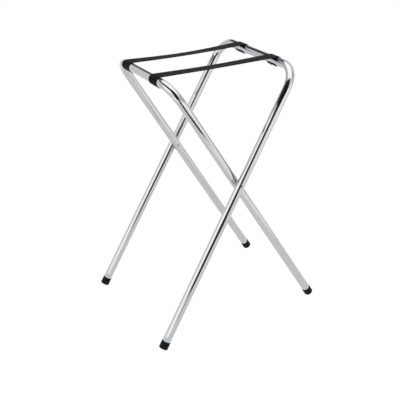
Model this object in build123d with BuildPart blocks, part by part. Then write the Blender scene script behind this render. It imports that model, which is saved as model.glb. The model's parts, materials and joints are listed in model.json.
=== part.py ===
# Folding tray stand: two bent-tube frames cross on a pair of rivets and carry two webbing straps.
#
# Millimetres. +Z is up, +X runs along the straps and +Y along the pivot rivets.
# The origin is on the floor, midway between the feet.
# The inner frame has its bar at -X and its feet at +X, and the outer frame the other way round.
# Far means +Y and near means -Y.

import os
from math import acos, atan2, cos, degrees, hypot, radians, sin, sqrt, tan

from build123d import *

os.makedirs("parts", exist_ok=True)

# Overall sizes
bar_top_height = 787.0  # floor to the top of the bars
bar_spacing = 381.0  # between the centrelines of the two bars
foot_spread = 558.8  # between the points where the leg centrelines meet the floor, along X
inner_pivot_width = 355.6  # between the inner frame's leg centrelines at the pivot, along Y
inner_leg_splay = 0.97  # degrees that each inner leg leans out towards its foot
outer_leg_splay = 1.1  # degrees that each outer leg leans out towards its foot

# Frame tubes
tube_diameter = 25.4
tube_wall = 1.2
bend_radius = 60.0  # centreline radius of the bends between bar and legs

# Pivots
pivot_gap = 2.5  # between the inner and the outer tube
pivot_rivet_diameter = 6.35
pivot_head_diameter = 12.0
pivot_head_height = 2.8
pivot_head_rim = 0.5  # straight edge under the outer head's dome
pivot_washer_diameter = 15.0
pivot_washer_thickness = 1.0
pivot_spacer_diameter = 18.0
pivot_side_play = 0.3  # between the inner tube and each piece beside it
running_clearance = 0.05  # radial, where the inner frame turns on the rivet
fixed_clearance = 0.02  # where pieces stay still on each other

# Foot tips
tip_wall = 1.0  # round the tube
tip_length = 24.0
tip_floor = 3.0  # the closed end, between the tube and the floor
tip_edge_radius = 2.0
tip_rim_radius = 0.4  # at the open end
tip_sole_depth = 0.8  # how deep the sole is flattened where it stands on the floor

# Straps
strap_width = 44.45
strap_thickness = 1.6
strap_sag = 4.0  # how far the middle of a strap hangs below the bars' tops
strap_bar_gap = 0.3  # between the webbing and the bar
strap_wrap_end = 105.0  # degrees from a bar's top, down its inner side, to the strap's end
strap_margin = 3.2  # from each strap to the start of the inner frame's bend beside it

# Strap rivets
strap_rivet_pitch = 22.0  # between the two rivets of a strap end
strap_rivet_diameter = 4.8
strap_rivet_head_diameter = 9.5
strap_rivet_head_height = 1.8
strap_rivet_head_round = 1.2
strap_rivet_bulb_diameter = 7.0
strap_rivet_bulb_length = 3.5
strap_washer_diameter = 14.0
strap_washer_thickness = 1.0
strap_hole_play = 0.2  # radial, around the rivets in webbing, washers and bar
strap_washer_gap = 0.1  # between the webbing and the washers

# Places that follow from the sizes
tube_radius = tube_diameter / 2
bore_radius = tube_radius - tube_wall
tip_bore_radius = tube_radius + fixed_clearance
tip_radius = tip_bore_radius + tip_wall
bar_height = bar_top_height - tube_radius
half_bars = bar_spacing / 2
half_feet = foot_spread / 2
leg_lean = atan2(half_bars + half_feet, bar_height)
pivot_height = bar_height * half_feet / (half_bars + half_feet)
pivot_to_bar = hypot(half_bars, bar_height - pivot_height)
outer_pivot_width = inner_pivot_width + 2 * (tube_diameter + pivot_gap)
pivot_rivet_radius = pivot_rivet_diameter / 2
inner_side, outer_side = -1, 1  # the side of X on which a frame has its bar
far_side, near_side = 1, -1  # the side of Y

# A frame's legs, seen in the plane that holds the bar and both legs


class FrameLayout:
    """One frame's plane, with its own x along +Y and its own y up the legs from the pivot axis."""

    def __init__(self, bar_side, pivot_width, splay):
        self.bar_x = bar_side * half_bars
        self.half_width = pivot_width / 2
        self.splay = radians(splay)
        self.plane = Plane(
            origin=(0, 0, pivot_height),
            x_dir=(0, 1, 0),
            z_dir=(cos(leg_lean), 0, -bar_side * sin(leg_lean)),
        )
        # The tip's rounded edge meets the floor first, because the leg leans.
        lean = acos(cos(leg_lean) * cos(self.splay))
        flat_radius = tip_radius - tip_edge_radius
        edge_drop = flat_radius * sin(lean) + tip_edge_radius * (1 - cos(lean))
        self.tip_end = self.rise_at(edge_drop - tip_sole_depth)
        self.tube_end = self.tip_end + (tip_floor + fixed_clearance) * cos(self.splay)

    def rise_at(self, height):
        """How far up the frame's plane, from the pivot axis, a height above the floor is."""
        return (height - pivot_height) / cos(leg_lean)

    def leg_point(self, side, rise):
        """A point of a leg's centreline, in the frame's plane."""
        return (side * (self.half_width - rise * tan(self.splay)), rise)

    def leg_plane(self, side, rise):
        """A plane across a leg, with its normal up the leg."""
        point = self.plane.from_local_coords(Vector(*self.leg_point(side, rise)))
        upward = Vector(-side * sin(self.splay), cos(self.splay))
        tip = self.plane.from_local_coords(Vector(*self.leg_point(side, rise)) + upward)
        return Plane(origin=point, x_dir=self.plane.z_dir, z_dir=tip - point)

    def bar_straight(self):
        """Half the length of the bar's straight middle."""
        corner = self.leg_point(far_side, pivot_to_bar)[0]
        return corner - bend_radius * tan((radians(90) - self.splay) / 2)


inner = FrameLayout(inner_side, inner_pivot_width, inner_leg_splay)
outer = FrameLayout(outer_side, outer_pivot_width, outer_leg_splay)

# Where the straps cross the bars, and their rivets
half_strap = strap_width / 2
strap_offset = inner.bar_straight() - strap_margin - half_strap
strap_places = {"far": far_side * strap_offset, "near": near_side * strap_offset}
strap_inside = tube_radius + strap_bar_gap
strap_outside = strap_inside + strap_thickness
washer_inside = strap_outside + strap_washer_gap
washer_outside = washer_inside + strap_washer_thickness
strap_hole_radius = strap_rivet_diameter / 2 + strap_hole_play


def rivet_spots(layout, place):
    """The two places, seen from above, of a strap end's rivets."""
    half_pitch = strap_rivet_pitch / 2
    return [(layout.bar_x, place - half_pitch), (layout.bar_x, place + half_pitch)]


def below_bar(distance):
    """A level plane at a distance below the bars' centrelines."""
    return Plane.XY.offset(bar_height - distance)


# Frame tubes


def frame_tube(layout, pivot_hole_radius):
    """A bent tube with its pivot holes, and the holes for the strap rivets under its bar."""
    with BuildPart() as tube:
        with BuildLine(layout.plane) as route:
            FilletPolyline(
                layout.leg_point(far_side, layout.tube_end),
                layout.leg_point(far_side, pivot_to_bar),
                layout.leg_point(near_side, pivot_to_bar),
                layout.leg_point(near_side, layout.tube_end),
                radius=bend_radius,
            )
        with BuildSketch(Plane(origin=route.line @ 0, z_dir=route.line % 0)):
            Circle(tube_radius)
            Circle(bore_radius, mode=Mode.SUBTRACT)
        sweep()
        with BuildSketch(Plane(origin=(0, 0, pivot_height), z_dir=(0, 1, 0))):
            Circle(pivot_hole_radius)
        extrude(amount=outer_pivot_width, both=True, mode=Mode.SUBTRACT)
        with BuildSketch(below_bar(tube_diameter)):
            for place in strap_places.values():
                with Locations(*rivet_spots(layout, place)):
                    Circle(strap_hole_radius)
        extrude(amount=tube_diameter, mode=Mode.SUBTRACT)
    return tube.part


# Foot tips


def foot_tip(layout, side):
    """A cap pushed over the tube's end, with a sole that is flat on the floor."""
    leg = layout.leg_plane(side, layout.tip_end)
    corner = (Align.MIN, Align.MIN)
    with BuildPart() as tip:
        # Half of the tip's section, with its own x outwards and its own y up the leg
        with BuildSketch(Plane(origin=leg.origin, x_dir=leg.x_dir, z_dir=-leg.y_dir)) as section:
            Rectangle(tip_radius, tip_length, align=corner)
            with Locations((0, tip_floor)):
                Rectangle(tip_bore_radius, tip_length, align=corner, mode=Mode.SUBTRACT)
            outer_corners = section.vertices().group_by(Axis.X)[-1].sort_by(Axis.Y)
            fillet(outer_corners[0], tip_edge_radius)
            fillet(outer_corners[-1], tip_rim_radius)
        revolve(axis=Axis(leg.origin, leg.z_dir))
        split(bisect_by=Plane.XY)
    return tip.part


# Pivots, measured outwards along Y from the stand's middle

inner_tube_inside = inner_pivot_width / 2 - tube_radius
inner_tube_outside = inner_pivot_width / 2 + tube_radius
outer_tube_inside = outer_pivot_width / 2 - tube_radius
outer_tube_outside = outer_pivot_width / 2 + tube_radius
washer_face = inner_tube_inside - pivot_side_play
closed_head_face = washer_face - pivot_washer_thickness - fixed_clearance


def pivot_plane(side):
    """A plane through the pivot axis, with its own x outwards along the axis."""
    return Plane(origin=(0, 0, pivot_height), x_dir=(0, side, 0), z_dir=(1, 0, 0))


def pivot_ring(side, start, end, diameter):
    """A flat ring round the pivot rivet, between two distances from the middle."""
    bore = pivot_rivet_radius + running_clearance
    with BuildPart() as ring:
        with BuildSketch(Plane(origin=(0, side * start, pivot_height), z_dir=(0, side, 0))):
            Circle(diameter / 2)
            Circle(bore, mode=Mode.SUBTRACT)
        extrude(amount=end - start)
    return ring.part


def pivot_rivet(side):
    """A rivet with a closed head inside the inner leg and a factory head drawn onto the outer tube."""
    head_radius = pivot_head_diameter / 2
    skirt = tube_radius - sqrt(tube_radius**2 - head_radius**2)
    skirt_face = outer_tube_outside - skirt
    rim_face = outer_tube_outside + pivot_head_rim
    axis = Axis((0, 0, pivot_height), (0, 1, 0))
    with BuildPart() as rivet:
        with BuildSketch(pivot_plane(side)):
            with BuildLine():
                Polyline((rim_face + pivot_head_height, 0), (skirt_face, 0), (skirt_face, head_radius))
                Line((skirt_face, head_radius), (rim_face, head_radius))
                TangentArc((rim_face + pivot_head_height, 0), (rim_face, head_radius), tangent=(0, 1))
            make_face()
        revolve(axis=axis)
        # The head's skirt is cut to the tube's curve, so that the head sits down on the tube.
        with BuildSketch(outer.leg_plane(side, 0)):
            Circle(tube_radius + fixed_clearance)
        extrude(amount=pivot_head_diameter, both=True, mode=Mode.SUBTRACT)
        with BuildSketch(pivot_plane(side)):
            with BuildLine():
                closed_apex = (closed_head_face - pivot_head_height, 0)
                TangentArc(closed_apex, (closed_head_face, head_radius), tangent=(0, 1))
                Polyline(
                    (closed_head_face, head_radius),
                    (closed_head_face, pivot_rivet_radius),
                    (rim_face, pivot_rivet_radius),
                    (rim_face, 0),
                    closed_apex,
                )
            make_face()
        revolve(axis=axis)
    return rivet.part


# Straps


def strap(place):
    """Webbing that hangs between the bars and goes over, down the outside and under each of them."""
    rise = (half_bars**2 - strap_sag**2) / (2 * strap_sag)
    hang_centre = (0, bar_height + rise)
    hang_radius = strap_sag - strap_inside + rise
    leave = degrees(atan2(half_bars, rise))
    wrap = 360 - strap_wrap_end + leave
    with BuildPart() as webbing:
        with BuildSketch(Plane(origin=(0, place, 0), x_dir=(1, 0, 0), z_dir=(0, -1, 0))):
            with BuildLine():
                for radius in (hang_radius, hang_radius - strap_thickness):
                    CenterArc(hang_centre, radius, 270 - leave, 2 * leave)
                for bar_side in (inner_side, outer_side):
                    bar_centre = (bar_side * half_bars, bar_height)
                    start = 90 + bar_side * leave
                    for radius in (strap_inside, strap_outside):
                        CenterArc(bar_centre, radius, start, -bar_side * wrap)
                    end = radians(start - bar_side * wrap)
                    Line(
                        *[
                            (bar_centre[0] + radius * cos(end), bar_centre[1] + radius * sin(end))
                            for radius in (strap_inside, strap_outside)
                        ]
                    )
            make_face()
        extrude(amount=half_strap, both=True)
        with BuildSketch(below_bar(2 * strap_outside)):
            for layout in (inner, outer):
                with Locations(*rivet_spots(layout, place)):
                    Circle(strap_hole_radius)
        extrude(amount=2 * strap_outside, mode=Mode.SUBTRACT)
    return webbing.part


# Strap rivets and washers


def along_bar(layout, place):
    """Where a cylinder lies along a bar, with its middle under a strap."""
    return Location((layout.bar_x, place, bar_height), (90, 0, 0))


def strap_washers(layout, place):
    """A strap end's two washers, curved to lie on the webbing under the bar."""
    with BuildPart() as washers:
        with BuildSketch(below_bar(washer_outside)):
            with Locations(*rivet_spots(layout, place)):
                Circle(strap_washer_diameter / 2)
                Circle(strap_hole_radius, mode=Mode.SUBTRACT)
        extrude(amount=washer_outside)
        with Locations(along_bar(layout, place)):
            Cylinder(washer_outside, strap_width, mode=Mode.INTERSECT)
            Cylinder(washer_inside, strap_width, mode=Mode.SUBTRACT)
    return washers.part


def strap_rivets(layout, place):
    """A strap end's two blind rivets, each with its head under the washer and its bulb inside the bar."""
    head_bottom = washer_outside + strap_rivet_head_height
    with BuildPart() as bulbs:
        with BuildSketch(below_bar(bore_radius)):
            with Locations(*rivet_spots(layout, place)):
                Circle(strap_rivet_bulb_diameter / 2)
        extrude(amount=strap_rivet_bulb_length)
        with Locations(along_bar(layout, place)):
            Cylinder(bore_radius - fixed_clearance, strap_width, mode=Mode.INTERSECT)
    with BuildPart() as rivets:
        with BuildSketch(below_bar(head_bottom)):
            with Locations(*rivet_spots(layout, place)):
                Circle(strap_rivet_head_diameter / 2)
        extrude(amount=head_bottom)
        fillet(rivets.faces().group_by(Axis.Z)[0].edges(), strap_rivet_head_round)
        with Locations(along_bar(layout, place)):
            Cylinder(washer_outside + fixed_clearance, strap_width, mode=Mode.SUBTRACT)
        with BuildSketch(below_bar(head_bottom - strap_rivet_head_height / 2)):
            with Locations(*rivet_spots(layout, place)):
                Circle(strap_rivet_diameter / 2)
        extrude(amount=head_bottom - strap_rivet_head_height / 2 - bore_radius + strap_rivet_bulb_length)
        add(bulbs.part)
    return rivets.part


pieces = {
    "inner_frame_tube": frame_tube(inner, pivot_rivet_radius + running_clearance),
    "outer_frame_tube": frame_tube(outer, pivot_rivet_radius + fixed_clearance),
}
for side_name, side in (("far", far_side), ("near", near_side)):
    pieces[f"inner_{side_name}_foot_tip"] = foot_tip(inner, side)
    pieces[f"outer_{side_name}_foot_tip"] = foot_tip(outer, side)
    pieces[f"{side_name}_pivot_rivet"] = pivot_rivet(side)
    pieces[f"{side_name}_pivot_spacer"] = pivot_ring(
        side,
        inner_tube_outside + pivot_side_play,
        outer_tube_inside - pivot_side_play,
        pivot_spacer_diameter,
    )
    pieces[f"{side_name}_pivot_washer"] = pivot_ring(
        side, washer_face - pivot_washer_thickness, washer_face, pivot_washer_diameter
    )
for strap_name, place in strap_places.items():
    pieces[f"{strap_name}_strap"] = strap(place)
    for frame_name, layout in (("inner", inner), ("outer", outer)):
        pieces[f"{strap_name}_strap_{frame_name}_rivets"] = strap_rivets(layout, place)
        pieces[f"{strap_name}_strap_{frame_name}_washers"] = strap_washers(layout, place)

for name, piece in pieces.items():
    piece.label = name
    export_step(piece, f"parts/{name}.step")
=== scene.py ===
import json
from math import acos, atan2, ceil, cos, pi, radians, sin, tan

import bmesh
import bpy
from bpy.props import FloatProperty, FloatVectorProperty, IntProperty, PointerProperty
from mathutils import Matrix, Quaternion, Vector


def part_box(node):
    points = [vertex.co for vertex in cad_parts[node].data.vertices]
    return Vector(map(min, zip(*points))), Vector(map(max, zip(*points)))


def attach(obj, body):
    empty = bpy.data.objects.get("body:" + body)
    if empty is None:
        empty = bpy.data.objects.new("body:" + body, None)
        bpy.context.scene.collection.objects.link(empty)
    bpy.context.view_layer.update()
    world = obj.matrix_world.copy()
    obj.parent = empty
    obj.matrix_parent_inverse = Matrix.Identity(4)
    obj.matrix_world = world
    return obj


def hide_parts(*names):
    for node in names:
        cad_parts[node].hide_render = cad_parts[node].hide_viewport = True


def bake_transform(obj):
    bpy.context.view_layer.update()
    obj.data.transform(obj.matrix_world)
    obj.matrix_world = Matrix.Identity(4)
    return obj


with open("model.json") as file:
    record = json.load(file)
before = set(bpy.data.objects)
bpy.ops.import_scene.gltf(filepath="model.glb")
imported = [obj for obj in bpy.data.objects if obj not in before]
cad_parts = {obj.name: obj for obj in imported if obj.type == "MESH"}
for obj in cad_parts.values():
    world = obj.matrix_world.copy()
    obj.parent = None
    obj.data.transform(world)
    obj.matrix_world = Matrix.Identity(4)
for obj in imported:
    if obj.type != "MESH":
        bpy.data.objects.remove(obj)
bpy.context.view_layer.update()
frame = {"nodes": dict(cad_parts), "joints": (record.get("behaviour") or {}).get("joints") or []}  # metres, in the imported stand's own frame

bl_info = {
    "name": "Folding Tray Stand",
    "version": (1, 0, 0),
    "blender": (4, 5, 0),
    "location": "View3D > Sidebar > Tray Stand",
    "description": "Dresses a folding tray stand: chrome frames, webbing straps, foot tips and rivets",
    "category": "Object",
}

FAR, NEAR = 1, -1  # the side of Y
SIDES = {"far": FAR, "near": NEAR}

# Settings that a user would change


def length_setting(name, description, metres):
    """A length."""
    return FloatProperty(name=name, description=description, default=metres, subtype="DISTANCE")


def angle_setting(name, description, degrees):
    """An angle, which the setting keeps in radians."""
    return FloatProperty(name=name, description=description, default=radians(degrees), subtype="ANGLE")


def colour_setting(name, description, colour):
    """A colour in linear light."""
    return FloatVectorProperty(name=name, description=description, default=colour, subtype="COLOR")


class FrameSettings(bpy.types.PropertyGroup):
    """Sizes and finish of the two bent chrome tubes."""

    tube_diameter: length_setting("Tube diameter", "Outside of both frame tubes", 0.0254)
    tube_wall: length_setting("Tube wall", "Thickness of the tube's wall", 0.0012)
    bend_radius: length_setting("Bend radius", "Centreline of the bends", 0.06)
    rim_round: length_setting("Rim round", "Rounded edge of the cut tube ends", 0.0004)
    inner_splay: angle_setting("Inner splay", "How far the inner legs lean out towards their feet", 0.97)
    outer_splay: angle_setting("Outer splay", "How far the outer legs lean out towards their feet", 1.1)
    pivot_side_play: length_setting("Pivot play", "From the inner tube to its washer", 0.0003)
    sides: IntProperty(name="Sides", description="Faces around a tube", default=72, min=12)
    chrome_colour: colour_setting("Chrome", "What the plating mirrors back", (0.50, 0.506, 0.517))


class StrapSettings(bpy.types.PropertyGroup):
    """Sizes and finish of the two webbing straps."""

    thickness: length_setting("Thickness", "Thickness of the webbing", 0.0016)
    bar_gap: length_setting("Bar gap", "Between the webbing and a bar", 0.0003)
    far_sag: length_setting("Far sag", "How far the far strap hangs between the bars", 0.0052)
    near_sag: length_setting("Near sag", "How far the near strap hangs between the bars", 0.0025)
    far_twist: angle_setting("Far twist", "How far the far strap's middle turns its far edge up", -4)
    near_twist: angle_setting("Near twist", "How far the near strap's middle turns its far edge up", -2.8)
    end_shift: length_setting("End shift", "How far to the far side the ends at the inner bar sit", 0.003)
    inner_shift: length_setting("Inner shift", "How far to the far side the inner bar's top has them", 0.0068)
    outer_shift: length_setting("Outer shift", "How far to the far side the outer bar has them", -0.002)
    wrap_end: angle_setting("Wrap end", "From a bar's top, down its inner side, to the strap's end", 116)
    yarn_width: length_setting("Yarn width", "Across one warp yarn of the weave", 0.00127)
    float_length: length_setting("Float length", "Along one float of the weave", 0.0031)
    colour: colour_setting("Webbing", "Colour of the yarn", (0.004, 0.004, 0.0043))


class TipSettings(bpy.types.PropertyGroup):
    """Sizes and finish of the four foot tips, caps pushed over the tubes' ends."""

    wall: length_setting("Wall", "Thickness of the cap round its tube", 0.001)
    length: length_setting("Length", "From the rim to the closed end", 0.024)
    floor: length_setting("Floor", "Thickness of the closed end", 0.003)
    edge_radius: length_setting("Edge radius", "Rounded edge of the closed end", 0.002)
    rim_radius: length_setting("Rim radius", "Rounded edge of the rim", 0.0004)
    clearance: length_setting("Clearance", "Between the cap and its tube", 0.00002)
    colour: colour_setting("Tip", "Colour of the vinyl", (0.004, 0.004, 0.0042))


class FastenerSettings(bpy.types.PropertyGroup):
    """Finish of the rivets, washers and spacers."""

    rivet_colour: colour_setting("Rivets", "Nickel plate", (0.56, 0.555, 0.54))
    washer_colour: colour_setting("Washers", "Zinc plate", (0.50, 0.505, 0.52))
    spacer_colour: colour_setting("Spacers", "Natural nylon", (0.78, 0.76, 0.70))


class StageSettings(bpy.types.PropertyGroup):
    """The camera's place and the light."""

    camera_place: FloatVectorProperty(
        name="Camera",
        description="Where the camera stands",
        default=(-1.11499, -1.98035, 1.41139),
        subtype="XYZ",
    )
    camera_azimuth: angle_setting("Azimuth", "Round the stand, from the near side", -28.951)
    camera_elevation: angle_setting("Elevation", "Above the horizon", 25.361)
    camera_roll: angle_setting("Roll", "Turn about the view's axis", -1.417)
    camera_lens: FloatProperty(name="Lens", description="Focal length, mm", default=72.02, min=1)
    sky_light: FloatProperty(name="Sky", description="Even light from all round", default=0.55, min=0)
    floor_shadow: FloatProperty(
        name="Floor shadow",
        description="Share of the floor's own shade that shows",
        default=0.1,
        min=0,
        max=0.9,
    )


# Where the frames run


class FrameLayout:
    """One frame's plane: points in it are (across, rise), along +Y and up the legs from the pivot axis."""

    def __init__(self, node, splay):
        tubes = bpy.context.scene.tray_frames
        radius = tubes.tube_diameter / 2
        low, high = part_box(node)
        self.pivot = Vector(frame["joints"][0]["pos_m"])
        self.splay = splay
        self.bar_z = high.z - radius
        self.bar_x = bar_place(node, radius)
        self.lean = atan2(abs(self.bar_x), self.bar_z - self.pivot.z)
        self.up_leg = Vector((sin(self.lean) * (1 if self.bar_x > 0 else -1), 0, cos(self.lean)))
        self.half_width = pivot_half_width(node)
        tilt = acos(cos(self.lean) * cos(splay))
        end_height = low.z + radius * sin(tilt)
        self.bar_rise = (self.bar_z - self.pivot.z) / cos(self.lean)
        self.end_rise = (end_height - self.pivot.z) / cos(self.lean)

    def leg(self, side, rise):
        """A point of a leg's centreline, in the frame's plane."""
        return Vector((side * (self.half_width - rise * tan(self.splay)), rise))

    def place(self, point):
        """A point of the frame's plane, in the stand."""
        return self.pivot + Vector((0, point[0], 0)) + self.up_leg * point[1]

    def direction(self, vector):
        """A direction in the frame's plane, in the stand."""
        return Vector((0, vector[0], 0)) + self.up_leg * vector[1]


def bar_place(node, radius):
    """The bar's X: the bar is the tube's highest part, so its side is where the highest points are."""
    low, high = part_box(node)
    top = max(frame["nodes"][node].data.vertices, key=lambda vertex: vertex.co.z)
    return high.x - radius if top.co.x > 0 else low.x + radius


def pivot_half_width(node):
    """Half the distance between a frame's leg centrelines at the pivot."""
    tubes = bpy.context.scene.tray_frames
    radius = tubes.tube_diameter / 2
    spacer_inside, spacer_outside = (corner.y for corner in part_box("far_pivot_spacer"))
    if node.startswith("inner"):
        return spacer_inside - tubes.pivot_side_play - radius
    return spacer_outside + tubes.pivot_side_play + radius


def layouts():
    """Both frames' layouts, by name."""
    tubes = bpy.context.scene.tray_frames
    return {
        "inner": FrameLayout("inner_frame_tube", tubes.inner_splay),
        "outer": FrameLayout("outer_frame_tube", tubes.outer_splay),
    }


# Meshes


def skin(name, rings, row_marks, column_marks, close_rows=False):
    """A mesh through closed rings of points.

    The marks are UV distances along rows and columns, with one more where a loop closes.
    """
    rows, columns = len(rings), len(rings[0])
    faces = []
    corners = []
    for row in range(rows if close_rows else rows - 1):
        after = (row + 1) % rows
        for column in range(columns):
            beside = (column + 1) % columns
            faces.append(
                (
                    row * columns + column,
                    row * columns + beside,
                    after * columns + beside,
                    after * columns + column,
                )
            )
            corners += [
                (column_marks[column], row_marks[row]),
                (column_marks[column + 1], row_marks[row]),
                (column_marks[column + 1], row_marks[row + 1]),
                (column_marks[column], row_marks[row + 1]),
            ]
    if not close_rows:
        for row in (0, rows - 1):
            faces.append(tuple(row * columns + column for column in range(columns)))
            corners += [(column_marks[column], row_marks[row]) for column in range(columns)]
    mesh = bpy.data.meshes.new(name)
    mesh.from_pydata([point for ring in rings for point in ring], [], faces)
    layer = mesh.uv_layers.new(name="UVMap")
    layer.data.foreach_set("uv", [value for corner in corners for value in corner])
    return mesh


def outward(mesh):
    """Turns every face of a closed mesh outwards."""
    work = bmesh.new()
    work.from_mesh(mesh)
    bmesh.ops.recalc_face_normals(work, faces=work.faces)
    work.to_mesh(mesh)
    work.free()


def show(mesh, material, sharp_angle=None):
    """A smooth-shaded object of that mesh, in the scene."""
    outward(mesh)
    mesh.shade_smooth()
    if sharp_angle is not None:
        mesh.set_sharp_from_angle(angle=sharp_angle)
    mesh.materials.append(material)
    piece = bpy.data.objects.new(mesh.name, mesh)
    bpy.context.scene.collection.objects.link(piece)
    return piece


def running_marks(points):
    """Distances along a row of points, from its first."""
    marks = [0.0]
    for start, end in zip(points, points[1:]):
        marks.append(marks[-1] + (end - start).length)
    return marks


# Shader nodes


def add_node(tree, kind, sockets=None, **settings):
    """A node with its settings, and a value or a link for each socket that is named or numbered."""
    made = tree.nodes.new(kind)
    for name, value in settings.items():
        setattr(made, name, value)
    for key, value in (sockets or {}).items():
        if isinstance(value, bpy.types.NodeSocket):
            tree.links.new(value, made.inputs[key])
        else:
            made.inputs[key].default_value = value
    return made


def calc(tree, operation, *values):
    """The result of a sum on values or sockets."""
    return add_node(tree, "ShaderNodeMath", dict(enumerate(values)), operation=operation).outputs[0]


def noise(tree, vector, scale, detail=3.0, roughness=0.5):
    """A noise value at a place."""
    sockets = {"Vector": vector, "Scale": scale, "Detail": detail, "Roughness": roughness}
    return add_node(tree, "ShaderNodeTexNoise", sockets).outputs["Fac"]


def remap(tree, value, from_range, to_range):
    """A value moved from one range to another, and held inside it."""
    sockets = {
        "Value": value,
        "From Min": from_range[0],
        "From Max": from_range[1],
        "To Min": to_range[0],
        "To Max": to_range[1],
    }
    return add_node(tree, "ShaderNodeMapRange", sockets).outputs["Result"]


def stretched_noise(tree, vector, scales, detail):
    """A noise value at a place, with a scale for each axis."""
    sockets = {0: vector, 1: scales}
    place = add_node(tree, "ShaderNodeVectorMath", sockets, operation="MULTIPLY").outputs[0]
    return noise(tree, place, 1.0, detail)


def mix_colours(tree, factor, first, second):
    """A colour between two colours."""
    sockets = {0: factor, 6: first, 7: second}
    return add_node(tree, "ShaderNodeMix", sockets, data_type="RGBA").outputs[2]


def marks_group(name, scale_name, scale, low_roughness, high_roughness):
    """An empty group of surface marks, its inputs, and its outputs for a roughness and a height."""
    group = bpy.data.node_groups.new(name, "ShaderNodeTree")
    group.interface.new_socket(name="Vector", in_out="INPUT", socket_type="NodeSocketVector")
    values = {scale_name: scale, "Low Roughness": low_roughness, "High Roughness": high_roughness}
    for socket, value in values.items():
        made = group.interface.new_socket(name=socket, in_out="INPUT", socket_type="NodeSocketFloat")
        made.default_value = value
    for socket in ("Roughness", "Height"):
        group.interface.new_socket(name=socket, in_out="OUTPUT", socket_type="NodeSocketFloat")
    return group, group.nodes.new("NodeGroupInput").outputs, group.nodes.new("NodeGroupOutput").inputs


def polish_marks_group():
    """What hands and cleaning leave on polished metal: smears, fine lines and a slow waviness."""
    name = "Polish marks"
    if name in bpy.data.node_groups:
        return bpy.data.node_groups[name]
    group, given, result = marks_group(name, "Smear Scale", 30.0, 0.04, 0.12)
    smears = noise(group, given["Vector"], given["Smear Scale"], detail=5.0, roughness=0.6)
    rough = remap(group, smears, (0.42, 0.72), (given["Low Roughness"], given["High Roughness"]))
    group.links.new(rough, result["Roughness"])
    waves = stretched_noise(group, given["Vector"], (26.0, 7.0, 26.0), detail=1.0)
    lines = stretched_noise(group, given["Vector"], (1400.0, 18.0, 1400.0), detail=2.0)
    line_height = 0.004  # beside the waves' height of 1
    height = calc(group, "ADD", waves, calc(group, "MULTIPLY", lines, line_height))
    group.links.new(height, result["Height"])
    return group


def moulded_grain_group():
    """The fine grain and flow marks of moulded plastic."""
    name = "Moulded grain"
    if name in bpy.data.node_groups:
        return bpy.data.node_groups[name]
    group, given, result = marks_group(name, "Grain Scale", 2400.0, 0.4, 0.55)
    flow_scale = 120.0
    flow = noise(group, given["Vector"], flow_scale)
    rough = remap(group, flow, (0.35, 0.65), (given["Low Roughness"], given["High Roughness"]))
    group.links.new(rough, result["Roughness"])
    grain = noise(group, given["Vector"], given["Grain Scale"], detail=2.0)
    group.links.new(grain, result["Height"])
    return group


def new_material(name, colour, metallic=0.0):
    """A material with a principled shader, and its tree and shader."""
    material = bpy.data.materials.new(name)
    material.use_nodes = True
    tree = material.node_tree
    shader = tree.nodes["Principled BSDF"]
    shader.inputs["Base Color"].default_value = (*colour, 1)
    shader.inputs["Metallic"].default_value = metallic
    return material, tree, shader


def use_marks(tree, shader, group, vector, values, bump_strength, bump_distance):
    """Places a group of marks in a material, for its roughness and its bump."""
    marks = add_node(tree, "ShaderNodeGroup", {"Vector": vector, **values}, node_tree=group)
    tree.links.new(marks.outputs["Roughness"], shader.inputs["Roughness"])
    add_bump(tree, shader, marks.outputs["Height"], bump_strength, bump_distance)


def add_bump(tree, shader, height, strength, distance):
    """Leads a height to a shader's normal."""
    sockets = {"Strength": strength, "Distance": distance, "Height": height}
    bump = add_node(tree, "ShaderNodeBump", sockets)
    tree.links.new(bump.outputs["Normal"], shader.inputs["Normal"])


def places(tree, kind):
    """The surface's own coordinates, UV or Object."""
    return add_node(tree, "ShaderNodeTexCoord").outputs[kind]


def chrome_plate(colour):
    """Bright chrome plate on a drawn tube."""
    material, tree, shader = new_material("chrome_plate", colour, metallic=1.0)
    values = {"Smear Scale": 38.0, "Low Roughness": 0.035, "High Roughness": 0.085}
    marks = polish_marks_group()
    use_marks(tree, shader, marks, places(tree, "UV"), values, bump_strength=0.12, bump_distance=0.0006)
    return material


def plated_steel(name, colour, low_roughness, high_roughness):
    """Nickel or zinc plate on small steel pieces."""
    material, tree, shader = new_material(name, colour, metallic=1.0)
    values = {"Smear Scale": 260.0, "Low Roughness": low_roughness, "High Roughness": high_roughness}
    marks = polish_marks_group()
    use_marks(tree, shader, marks, places(tree, "Object"), values, bump_strength=0.1, bump_distance=0.0002)
    return material


def moulded_plastic(name, colour, low_roughness, high_roughness):
    """Plastic as it comes out of the mould."""
    material, tree, shader = new_material(name, colour)
    values = {"Low Roughness": low_roughness, "High Roughness": high_roughness}
    marks = moulded_grain_group()
    use_marks(tree, shader, marks, places(tree, "Object"), values, bump_strength=0.25, bump_distance=0.0001)
    return material


def tip_plastic(colour):
    """Black vinyl, scuffed grey where it stands on the floor."""
    material = moulded_plastic("tip_plastic", colour, 0.5, 0.65)
    tree = material.node_tree
    shader = tree.nodes["Principled BSDF"]
    shader.inputs["Specular IOR Level"].default_value = 0.12
    scuff_height = 0.004
    scuffed = (0.11, 0.108, 0.105, 1)
    place = places(tree, "Object")
    height = add_node(tree, "ShaderNodeSeparateXYZ", {0: place}).outputs["Z"]
    low = remap(tree, height, (0.0, scuff_height), (1.0, 0.0))
    scuffs = remap(tree, noise(tree, place, 700.0, detail=4.0, roughness=0.65), (0.45, 0.7), (0.0, 0.8))
    worn = calc(tree, "MULTIPLY", low, scuffs)
    tree.links.new(mix_colours(tree, worn, (*colour, 1), scuffed), shader.inputs["Base Color"])
    return material


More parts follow.
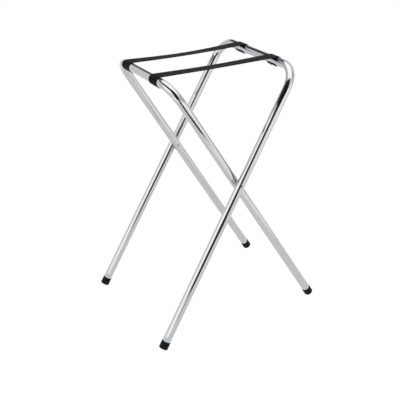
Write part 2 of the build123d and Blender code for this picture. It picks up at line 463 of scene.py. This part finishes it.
def webbing(settings):
    """Woven webbing: warp floats in columns, each a half float on from its neighbour, coloured with painted
    shade in the grooves and painted light on the floats' tops.
    """
    material, tree, shader = new_material("webbing", settings.colour)
    across, along = add_node(tree, "ShaderNodeSeparateXYZ", {0: places(tree, "UV")}).outputs[:2]
    column = calc(tree, "DIVIDE", across, settings.yarn_width)
    parity = calc(tree, "MODULO", calc(tree, "FLOOR", column), 2.0)
    step = calc(tree, "MULTIPLY_ADD", parity, 0.5, calc(tree, "DIVIDE", along, settings.float_length))
    yarn = calc(tree, "SINE", calc(tree, "MULTIPLY", calc(tree, "FRACT", column), pi))
    dip = calc(tree, "SINE", calc(tree, "MULTIPLY", calc(tree, "FRACT", step), pi))
    float_roundness = 0.35  # the smaller, the flatter a float's top
    hump = calc(tree, "MULTIPLY", calc(tree, "SQRT", yarn), calc(tree, "POWER", dip, float_roundness))
    cell = add_node(
        tree, "ShaderNodeCombineXYZ", {0: calc(tree, "FLOOR", column), 1: calc(tree, "FLOOR", step)}
    ).outputs[0]
    tone = add_node(tree, "ShaderNodeTexWhiteNoise", {"Vector": cell}, noise_dimensions="2D").outputs["Value"]
    lint = noise(tree, places(tree, "UV"), 90.0, detail=4.0, roughness=0.6)
    # The colour follows the weave's height, with painted shade in the grooves and painted light on the
    # floats' tops. A random tone per float and a lint noise vary it on top of that.
    shade = remap(tree, hump, (0.2, 0.95), (0.45, 1.0))
    shade = calc(tree, "MULTIPLY", shade, remap(tree, tone, (0, 1), (0.75, 1.25)))
    shade = calc(tree, "MULTIPLY", shade, remap(tree, lint, (0.3, 0.7), (0.85, 1.3)))
    # Shares of the yarn's colour: the painted shade in the grooves and the painted light on the floats' tops.
    painted_groove_shade_share, painted_hump_light_share = 0.25, 1.45  # of the yarn's colour
    dark = tuple(channel * painted_groove_shade_share for channel in settings.colour)
    light = tuple(channel * painted_hump_light_share for channel in settings.colour)
    weave_colour_with_painted_shade = mix_colours(tree, shade, (*dark, 1), (*light, 1))
    tree.links.new(weave_colour_with_painted_shade, shader.inputs["Base Color"])
    tree.links.new(remap(tree, hump, (0.3, 1.0), (0.75, 0.5)), shader.inputs["Roughness"])
    shader.inputs["Specular IOR Level"].default_value = 0.05
    add_bump(tree, shader, hump, strength=0.6, distance=0.0004)
    return material


# Chrome frames


def bent_route(layout, bend_radius, run_step, bend_steps):
    """Points and directions along a frame's centreline, from the far foot over the bar to the near foot."""
    turn = pi / 2 - layout.splay
    tangent = bend_radius * tan(turn / 2)
    foot = {side: layout.leg(side, layout.end_rise) for side in (FAR, NEAR)}
    corner = {side: layout.leg(side, layout.bar_rise) for side in (FAR, NEAR)}
    up = {side: (corner[side] - foot[side]).normalized() for side in (FAR, NEAR)}
    along_bar = Vector((-1, 0))
    bend_start = corner[FAR] - up[FAR] * tangent
    bar_start = corner[FAR] + along_bar * tangent
    bar_end = corner[NEAR] - along_bar * tangent
    bend_end = corner[NEAR] - up[NEAR] * tangent
    route = straight_run(foot[FAR], bend_start, run_step)
    route += bend(bend_start, up[FAR], turn, bend_radius, bend_steps)
    route += straight_run(bar_start, bar_end, run_step)
    route += bend(bar_end, along_bar, turn, bend_radius, bend_steps)
    route += straight_run(bend_end, foot[NEAR], run_step)
    return route


def straight_run(start, end, step):
    """Points and directions along a straight stretch, both ends included."""
    count = ceil((end - start).length / step)
    direction = (end - start).normalized()
    return [(start.lerp(end, index / count), direction) for index in range(count + 1)]


def bend(start, direction, turn, radius, steps):
    """Points and directions inside a bend to the left, without its ends."""
    left = Matrix.Rotation(pi / 2, 2)
    centre = start + left @ direction * radius
    made = []
    for index in range(1, steps):
        turned = Matrix.Rotation(turn * index / steps, 2)
        made.append((centre + turned @ (start - centre), turned @ direction))
    return made


def tube_rings(layout, route, radius, sides):
    """Rings of points round a frame's centreline."""
    normal = layout.direction((0, 1)).cross(Vector((0, 1, 0)))
    rings = []
    for point, direction in route:
        centre = layout.place(point)
        beside = normal.cross(layout.direction(direction))
        ring = []
        for index in range(sides):
            angle = 2 * pi * index / sides
            ring.append(centre + (normal * cos(angle) + beside * sin(angle)) * radius)
        rings.append(ring)
    return rings


def frame_tube(name, layout, settings):
    """A bent tube with its bore and the rounded rims of its cut ends."""
    radius = settings.tube_diameter / 2
    rim = settings.rim_round
    route = bent_route(layout, settings.bend_radius, run_step=0.04, bend_steps=28)
    first, last = route[0], route[-1]
    start = (first[0] + first[1] * rim, first[1])
    end = (last[0] - last[1] * rim, last[1])
    outside = tube_rings(layout, [start, *route[1:-1], end], radius, settings.sides)
    outer_rim = tube_rings(layout, [last, first], radius - rim, settings.sides)
    inside = tube_rings(layout, route[::-1], radius - settings.tube_wall, settings.sides)
    rings = [*outside, outer_rim[0], *inside, outer_rim[1]]
    row_marks = running_marks([ring[0] for ring in [*rings, rings[0]]])
    column_marks = [2 * pi * radius * index / settings.sides for index in range(settings.sides + 1)]
    return skin(name, rings, row_marks, column_marks, close_rows=True)


class TRAYSTAND_OT_frames(bpy.types.Operator):
    """Builds the two chrome frames over their packed tubes"""

    bl_idname = "traystand.frames"
    bl_label = "Chrome Frames"

    def execute(self, context):
        settings = context.scene.tray_frames
        chrome = chrome_plate(settings.chrome_colour)
        for name, layout in layouts().items():
            mesh = frame_tube(f"{name}_chrome_frame", layout, settings)
            piece = show(mesh, chrome, sharp_angle=radians(50))
            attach(piece, f"{name}_frame")
            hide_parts(f"{name}_frame_tube")
        return {"FINISHED"}


# Webbing straps

OWN_SHARE = 4 / 6  # what a smoothed cage keeps of a control point, with the rest from its two neighbours


def strap_route(sag, settings, frames):
    """Control points of a strap's middle line, from its end under the inner bar to that under the outer bar.

    Only the middle point is off the bars.
    """
    radius = strap_radius(settings, frames)
    inner = layouts()["inner"]
    bar = Vector((inner.bar_x, 0, inner.bar_z))
    leave = leaving_angle(sag, inner)
    wrap = 2 * pi - settings.wrap_end + leave
    widest_step = radians(12)
    steps = ceil(wrap / widest_step)
    step = wrap / steps
    cage_radius = radius / (OWN_SHARE + (1 - OWN_SHARE) * cos(step))
    route = []
    for index in range(steps + 1):
        turn = leave - wrap + index * step
        route.append(bar + Vector((sin(turn), 0, cos(turn))) * cage_radius)
    past_bar = 0.013
    run = past_bar - cage_radius * sin(leave)
    guide = route[-1] + Vector((run, 0, -run * tan(leave)))
    route.append(guide)
    middle_height = inner.bar_z + radius - sag
    cage_height = (middle_height - (1 - OWN_SHARE) * guide.z) / OWN_SHARE
    half = len(route)
    route.append(Vector((0, 0, cage_height)))
    for point in reversed(route[:half]):
        route.append(Vector((-point.x, 0, point.z)))
    return route


def strap_radius(settings, frames):
    """From a bar's centreline to the middle of the webbing round it."""
    return frames.tube_diameter / 2 + settings.bar_gap + settings.thickness / 2


def leaving_angle(sag, inner):
    """How far past a bar's top its strap leaves it, to hang in an arc."""
    return 2 * atan2(sag, abs(inner.bar_x))


def strap_section(width, thickness, columns):
    """Control points round a strap's flat section, as (across, out), with rounded edges."""
    edge = 0.0009
    flat = width / 2 - edge
    top = [-flat + 2 * flat * index / columns for index in range(columns + 1)]
    section = [(across, thickness / 2) for across in top]
    section.append((width / 2 + edge / 2, 0))
    section += [(across, -thickness / 2) for across in reversed(top)]
    section.append((-width / 2 - edge / 2, 0))
    return section


def strap_shift(index, middle, settings):
    """How far a strap sits off its node, towards the far side, at one of its control points."""
    if index > middle:
        return settings.outer_shift
    if index == middle:
        return (settings.inner_shift + settings.outer_shift) / 2
    share = index / (middle - 1)
    return settings.end_shift * (1 - share) + settings.inner_shift * share


def strap_mesh(name, node, sag, twist, settings, frames):
    """A strap's control mesh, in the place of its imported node."""
    low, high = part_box(node)
    middle = (low.y + high.y) / 2
    route = strap_route(sag, settings, frames)
    section = strap_section(high.y - low.y, settings.thickness, columns=10)
    last = len(route) - 1
    rings = []
    for index, point in enumerate(route):
        along = (route[min(index + 1, last)] - route[max(index - 1, 0)]).normalized()
        out = Vector((0, -1, 0)).cross(along)
        turn = Matrix.Rotation(twist / OWN_SHARE if index == last / 2 else 0, 3, along)
        centre = point + Vector((0, middle + strap_shift(index, last / 2, settings), 0))
        ring = []
        for across, height in section:
            ring.append(centre + turn @ (Vector((0, across, 0)) + out * height))
        rings.append(ring)
    section_points = [Vector((*point, 0)) for point in [*section, section[0]]]
    return skin(name, rings, running_marks(route), running_marks(section_points))


class TRAYSTAND_OT_straps(bpy.types.Operator):
    """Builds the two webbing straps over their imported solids"""

    bl_idname = "traystand.straps"
    bl_label = "Webbing Straps"

    def execute(self, context):
        settings = context.scene.tray_straps
        frames = context.scene.tray_frames
        cloth = webbing(settings)
        for side in SIDES:
            node = f"{side}_strap"
            sag = getattr(settings, f"{side}_sag")
            twist = getattr(settings, f"{side}_twist")
            mesh = strap_mesh(f"{side}_webbing_strap", node, sag, twist, settings, frames)
            piece = show(mesh, cloth)
            smooth = piece.modifiers.new("Smooth webbing", "SUBSURF")
            smooth.levels = smooth.render_levels = 3
            smooth.uv_smooth = "SMOOTH_ALL"
            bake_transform(piece)
            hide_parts(node)
        return {"FINISHED"}


# Foot tips


def tip_profile(settings, tube_radius):
    """A cap's half section as (radius, height above its end): up the outside and down the bore."""
    bore = tube_radius + settings.clearance
    radius = bore + settings.wall
    flat = radius - settings.edge_radius
    core = 0.02  # share of a flat end's radius that one last face closes
    profile = [(flat * core, 0.0), (flat / 2, 0.0)]
    profile += rounded(radius, settings.edge_radius, settings.edge_radius, start=-pi / 2, steps=8)
    profile += rounded(radius, settings.rim_radius, settings.length - settings.rim_radius, start=0, steps=4)
    profile += [(bore, settings.length), (bore, settings.floor), (bore * core, settings.floor)]
    return profile


def rounded(radius, edge_radius, height, start, steps):
    """A quarter turn of a cap's outer edge, as (radius, height)."""
    made = []
    for index in range(steps + 1):
        angle = start + pi / 2 * index / steps
        across = radius - edge_radius + edge_radius * cos(angle)
        made.append((across, height + edge_radius * sin(angle)))
    return made


def foot_tip(name, layout, side, settings, frames):
    """A cap turned round its leg and cut flat where it stands."""
    tube_end = layout.place(layout.leg(side, layout.end_rise))
    up_leg = (layout.place(layout.leg(side, layout.bar_rise)) - tube_end).normalized()
    tip_end = tube_end - up_leg * (settings.floor + settings.clearance)
    out = Vector((0, side, 0))
    out = (out - up_leg * out.dot(up_leg)).normalized()
    beside = up_leg.cross(out)
    angles = [2 * pi * index / frames.sides for index in range(frames.sides + 1)]
    profile = tip_profile(settings, frames.tube_diameter / 2)
    rings = []
    for radius, height in profile:
        ring = []
        for angle in angles[:-1]:
            ring.append(tip_end + up_leg * height + (out * cos(angle) + beside * sin(angle)) * radius)
        rings.append(ring)
    row_marks = running_marks([Vector((*point, 0)) for point in profile])
    column_marks = [frames.tube_diameter / 2 * angle for angle in angles]
    mesh = skin(name, rings, row_marks, column_marks)
    flatten_sole(mesh)
    return mesh


def flatten_sole(mesh):
    """Cuts a tip off level with the floor and closes the cut."""
    work = bmesh.new()
    work.from_mesh(mesh)
    everything = [*work.verts, *work.edges, *work.faces]
    cut = bmesh.ops.bisect_plane(
        work, geom=everything, plane_co=(0, 0, 0), plane_no=(0, 0, -1), clear_outer=True
    )
    rim = [part for part in cut["geom_cut"] if isinstance(part, bmesh.types.BMEdge)]
    bmesh.ops.contextual_create(work, geom=rim)
    work.to_mesh(mesh)
    work.free()


class TRAYSTAND_OT_foot_tips(bpy.types.Operator):
    """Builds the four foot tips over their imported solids"""

    bl_idname = "traystand.foot_tips"
    bl_label = "Foot Tips"

    def execute(self, context):
        settings = context.scene.tray_tips
        frames = context.scene.tray_frames
        plastic = tip_plastic(settings.colour)
        for name, layout in layouts().items():
            for side_name, side in SIDES.items():
                mesh = foot_tip(f"{name}_{side_name}_tip", layout, side, settings, frames)
                piece = show(mesh, plastic, sharp_angle=radians(35))
                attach(piece, f"{name}_frame")
                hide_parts(f"{name}_{side_name}_foot_tip")
        return {"FINISHED"}


# Rivets, washers and spacers


class TRAYSTAND_OT_fasteners(bpy.types.Operator):
    """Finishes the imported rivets, washers and spacers"""

    bl_idname = "traystand.fasteners"
    bl_label = "Rivets and Washers"

    def execute(self, context):
        settings = context.scene.tray_fasteners
        finishes = {
            "rivet": plated_steel("nickel_plate", settings.rivet_colour, 0.14, 0.28),
            "washer": plated_steel("zinc_plate", settings.washer_colour, 0.24, 0.4),
            "spacer": moulded_plastic("natural_nylon", settings.spacer_colour, 0.35, 0.5),
        }
        for node, piece in frame["nodes"].items():
            for word, finish in finishes.items():
                if word in node:
                    piece.data.materials[0] = finish
        return {"FINISHED"}


# Stage

FLOOR_LIFT = 0.001  # of a card over the floor, metres
LOW_LEVEL = 0.3  # of the two low cards on the near side
TOP_LEVEL = 1.38  # of the panel over the stand and the gap beside it
NEAR_WALL, FAR_WALL = 2.1, 8.0  # from the stand's middle to the dark flags
BLACK = 0.02  # radiance of the darkest gaps


def white_rays(tree):
    """1 for the rays that see the background: camera, mirror and glass rays."""
    path = add_node(tree, "ShaderNodeLightPath").outputs
    mirrored = calc(tree, "MAXIMUM", path["Is Glossy Ray"], path["Is Transmission Ray"])
    return calc(tree, "MAXIMUM", path["Is Camera Ray"], mirrored)


def light_world(sky_light):
    """Even light all round, and white where the background shows."""
    world = bpy.data.worlds.new("white_room")
    world.use_nodes = True
    tree = world.node_tree
    tree.nodes.clear()
    sky = add_node(tree, "ShaderNodeBackground", {"Color": (1, 1, 1, 1), "Strength": sky_light})
    backdrop = add_node(tree, "ShaderNodeBackground", {"Color": (1, 1, 1, 1), "Strength": 1.0})
    sockets = {0: white_rays(tree), 1: sky.outputs[0], 2: backdrop.outputs[0]}
    mixed = add_node(tree, "ShaderNodeMixShader", sockets)
    add_node(tree, "ShaderNodeOutputWorld", {"Surface": mixed.outputs[0]})
    bpy.context.scene.world = world


def floor_material(shadow_share, sky_light):
    """A floor that shows the white backdrop through it, and keeps a share of its own shade.

    The lift makes up what the share takes away, so that the floor is white wherever the whole sky lights it.
    From below the floor isn't there.
    """
    material = bpy.data.materials.new("white_floor")
    material.use_nodes = True
    tree = material.node_tree
    tree.nodes.clear()
    paleness = 0.9
    lift = (1 - shadow_share * paleness * sky_light) / (1 - shadow_share) - 1
    shade = add_node(tree, "ShaderNodeBsdfDiffuse", {"Color": (paleness, paleness, paleness, 1)})
    clear = add_node(tree, "ShaderNodeBsdfTransparent")
    glow = add_node(tree, "ShaderNodeEmission", {"Color": (1, 1, 1, 1), "Strength": lift})
    backdrop = add_node(tree, "ShaderNodeAddShader", {0: clear.outputs[0], 1: glow.outputs[0]})
    share = calc(tree, "MULTIPLY", white_rays(tree), 1 - shadow_share)
    floor = add_node(tree, "ShaderNodeMixShader", {0: share, 1: shade.outputs[0], 2: backdrop.outputs[0]})
    below = add_node(tree, "ShaderNodeNewGeometry").outputs["Backfacing"]
    sockets = {0: below, 1: floor.outputs[0], 2: clear.outputs[0]}
    shown = add_node(tree, "ShaderNodeMixShader", sockets)
    add_node(tree, "ShaderNodeOutputMaterial", {"Surface": shown.outputs[0]})
    return material


def flat_card(name, corners, material):
    """A flat card of the stage."""
    mesh = bpy.data.meshes.new(name)
    mesh.from_pydata(corners, [], [tuple(range(len(corners)))])
    mesh.materials.append(material)
    card = bpy.data.objects.new(name, mesh)
    bpy.context.scene.collection.objects.link(card)
    return card


def soft_box(name, place, target, width, height, radiance):
    """A lamp panel. Camera and mirrors don't see it, and cards stand for it in the chrome."""
    lamp = bpy.data.lights.new(name, "AREA")
    lamp.shape = "RECTANGLE"
    lamp.size = width
    lamp.size_y = height
    lamp.energy = radiance * pi * width * height
    panel = bpy.data.objects.new(name, lamp)
    panel.location = place
    panel.rotation_mode = "QUATERNION"
    panel.rotation_quaternion = (Vector(target) - Vector(place)).to_track_quat("-Z", "Y")
    panel.visible_camera = False
    panel.visible_glossy = False
    bpy.context.scene.collection.objects.link(panel)


def flag_material(name, radiance, foot_radiance, fade_start, fade_end):
    """A grey that needs no light, with another brightness at its foot that fades out between two heights."""
    material = bpy.data.materials.new(name)
    material.use_nodes = True
    tree = material.node_tree
    tree.nodes.clear()
    height = add_node(tree, "ShaderNodeSeparateXYZ", {0: places(tree, "Object")}).outputs["Z"]
    strength = remap(tree, height, (fade_start, fade_end), (foot_radiance, radiance))
    grey = add_node(tree, "ShaderNodeEmission", {"Color": (1, 1, 1, 1), "Strength": strength})
    add_node(tree, "ShaderNodeOutputMaterial", {"Surface": grey.outputs[0]})
    return material


def mirror_card(name, corners, radiance, foot_radiance=None, fade_start=0.0, fade_end=1.0):
    """A card that only mirrors see: a gap between the white walls round the stand, or a bright panel."""
    if foot_radiance is None:
        foot_radiance = radiance
    card = flat_card(name, corners, flag_material(name, radiance, foot_radiance, fade_start, fade_end))
    card.visible_camera = False
    card.visible_diffuse = False
    card.visible_shadow = False


def wall_flag(name, distance, directions, radiance):
    """A dark flag round the stand, its corners given as azimuths from the near side and elevations."""
    middle = Vector((0, 0, 0.45))
    corners = []
    for azimuth, elevation in directions:
        azimuth, elevation = radians(azimuth), radians(elevation)
        level = Vector((sin(azimuth), -cos(azimuth), 0)) * cos(elevation)
        corners.append(middle + (level + Vector((0, 0, sin(elevation)))) * distance)
    mirror_card(name, corners, radiance)


def level_card(name, height, corners, radiance):
    """A level card that only mirrors see."""
    mirror_card(name, [(x, y, height) for x, y in corners], radiance)


def place_lamps():
    """Two soft boxes, at the left and above."""
    left, left_target = (-2.25, -0.16, 1.2), (0, -0.16, 0.36)
    soft_box("left_soft_box", left, left_target, width=1.9, height=1.6, radiance=1.6)
    top, top_target = (0.25, -0.03, 1.9), (0.25, -0.03, 0)
    soft_box("top_soft_box", top, top_target, width=1.65, height=1.6, radiance=1.8)


def place_bright_cards():
    """The bright panels and the bright floor that the chrome mirrors."""
    top_panel = [(-0.34, -0.3), (0.0, -0.5), (0.3, -0.8), (0.45, -0.8)]
    top_panel += [(0.44, 0.0), (0.08, 0.5), (-0.34, 0.55)]
    level_card("top_panel", TOP_LEVEL, top_panel, radiance=1.88)
    left_panel = [(-2.53, -1.11, 0.25), (-2.53, 0.79, 0.25), (-1.97, 0.79, 1.95), (-1.97, -1.11, 1.95)]
    mirror_card("left_panel", left_panel, radiance=1.8, foot_radiance=1.0, fade_start=0.25, fade_end=0.85)
    right_panel = [(0.1, -2.7, 0), (2.3, -1.5, 0), (2.3, -1.5, 1.0), (0.1, -2.7, 1.0)]
    mirror_card("right_panel", right_panel, radiance=1.6)
    bright_floor = [(-0.25, -0.7), (2.3, -0.7), (2.3, -1.5), (0.1, -2.7), (-0.1, -2.6)]
    level_card("bright_floor", FLOOR_LIFT, bright_floor, radiance=1.3)
    left_card = [(-2.6, -0.4), (-0.85, -0.2), (-0.8, -0.9), (-1.0, -1.5), (-1.1, -2.2), (-2.6, -2.3)]
    level_card("left_card", LOW_LEVEL, left_card, radiance=1.7)


def place_dark_cards():
    """The dark gaps between the bright things that the chrome mirrors."""
    top_gap = [(-0.97, -0.3), (-0.45, -0.3), (-0.54, 0.0), (-0.62, 0.4), (-0.62, 0.75), (-0.97, 0.75)]
    level_card("top_gap", TOP_LEVEL, top_gap, radiance=0.05)
    camera_gap = [(-44, -5), (-51, 5), (-50, 20), (-55, 31), (-60, 36), (-75, 38.9), (-106, 39.8)]
    camera_gap += [(-106, 50), (-90, 58), (-60, 62), (-35, 62), (-13, 59), (-3, 46), (-3, 37), (-4, 24)]
    camera_gap += [(0, 19), (1, 13.5), (-15, 18.5), (-17, 8), (-10, -1), (-14, -10), (-24, -11)]
    wall_flag("camera_gap", NEAR_WALL, camera_gap, BLACK)
    left_gap = [(-150, 29), (-165, 33), (-180, 34), (-180, 46), (-165, 52), (-150, 53)]
    wall_flag("left_gap", FAR_WALL, left_gap, radiance=0.12)
    right_gap = [(52, 14), (80, 14), (80, 40), (48, 40)]
    wall_flag("right_gap", FAR_WALL, right_gap, radiance=0.55)
    back_gap = [(150, 14), (150, 40), (168, 44), (180, 40), (180, 26), (162, 20)]
    wall_flag("back_gap", FAR_WALL, back_gap, radiance=0.1)
    floor_gap = [(0, -1.15), (0.3, -1.42), (0.8, -1.6), (0.8, -1.75), (0.3, -1.62), (0, -1.4)]
    level_card("floor_gap", 2 * FLOOR_LIFT, floor_gap, BLACK)
    low_gap = [(-0.3, -0.53), (-0.18, -0.57), (-0.05, -0.7), (-0.07, -0.95), (-0.19, -1.5)]
    low_gap += [(-0.6, -1.5), (-0.75, -1.05), (-0.45, -0.7)]
    level_card("low_gap", LOW_LEVEL, low_gap, BLACK)


def place_camera(settings):
    """A camera at the photograph's viewing angle."""
    camera = bpy.data.objects.new("camera", bpy.data.cameras.new("camera"))
    azimuth, elevation = settings.camera_azimuth, settings.camera_elevation
    back = Vector((sin(azimuth) * cos(elevation), -cos(azimuth) * cos(elevation), sin(elevation)))
    camera.location = settings.camera_place
    camera.rotation_mode = "QUATERNION"
    roll = Quaternion((0, 0, 1), settings.camera_roll)
    camera.rotation_quaternion = (-back).to_track_quat("-Z", "Y") @ roll
    camera.data.lens = settings.camera_lens
    bpy.context.scene.collection.objects.link(camera)
    bpy.context.scene.camera = camera


class TRAYSTAND_OT_stage(bpy.types.Operator):
    """Sets the floor, the lamps and the camera"""

    bl_idname = "traystand.stage"
    bl_label = "Stage"

    def execute(self, context):
        settings = context.scene.tray_stage
        reach = 6.0
        floor = [(-reach, -reach, 0), (reach, -reach, 0), (reach, reach, 0), (-reach, reach, 0)]
        flat_card("floor", floor, floor_material(settings.floor_shadow, settings.sky_light))
        light_world(settings.sky_light)
        place_lamps()
        place_bright_cards()
        place_dark_cards()
        place_camera(settings)
        context.scene.view_settings.view_transform = "Standard"
        return {"FINISHED"}


# Sidebar and registration


class TRAYSTAND_PT_sidebar(bpy.types.Panel):
    """Lists the stand's pieces"""

    bl_idname = "TRAYSTAND_PT_sidebar"
    bl_label = "Folding Tray Stand"
    bl_space_type = "VIEW_3D"
    bl_region_type = "UI"
    bl_category = "Tray Stand"

    def draw(self, context):
        for operator in OPERATORS:
            self.layout.operator(operator.bl_idname)
        for name in SETTINGS:
            settings = getattr(context.scene, name)
            box = self.layout.box()
            for key in settings.__annotations__:
                box.prop(settings, key)


SETTINGS = {
    "tray_frames": FrameSettings,
    "tray_straps": StrapSettings,
    "tray_tips": TipSettings,
    "tray_fasteners": FastenerSettings,
    "tray_stage": StageSettings,
}
OPERATORS = (
    TRAYSTAND_OT_stage,
    TRAYSTAND_OT_frames,
    TRAYSTAND_OT_straps,
    TRAYSTAND_OT_foot_tips,
    TRAYSTAND_OT_fasteners,
)


def register():
    for group in SETTINGS.values():
        bpy.utils.register_class(group)
    for name, group in SETTINGS.items():
        setattr(bpy.types.Scene, name, PointerProperty(type=group))
    for made in (*OPERATORS, TRAYSTAND_PT_sidebar):
        bpy.utils.register_class(made)


def unregister():
    for made in (TRAYSTAND_PT_sidebar, *reversed(OPERATORS)):
        bpy.utils.unregister_class(made)
    for name, group in SETTINGS.items():
        delattr(bpy.types.Scene, name)
        bpy.utils.unregister_class(group)


def main():
    register()
    bpy.ops.traystand.stage()
    bpy.ops.traystand.frames()
    bpy.ops.traystand.straps()
    bpy.ops.traystand.foot_tips()
    bpy.ops.traystand.fasteners()


if __name__ == "__main__":
    main()
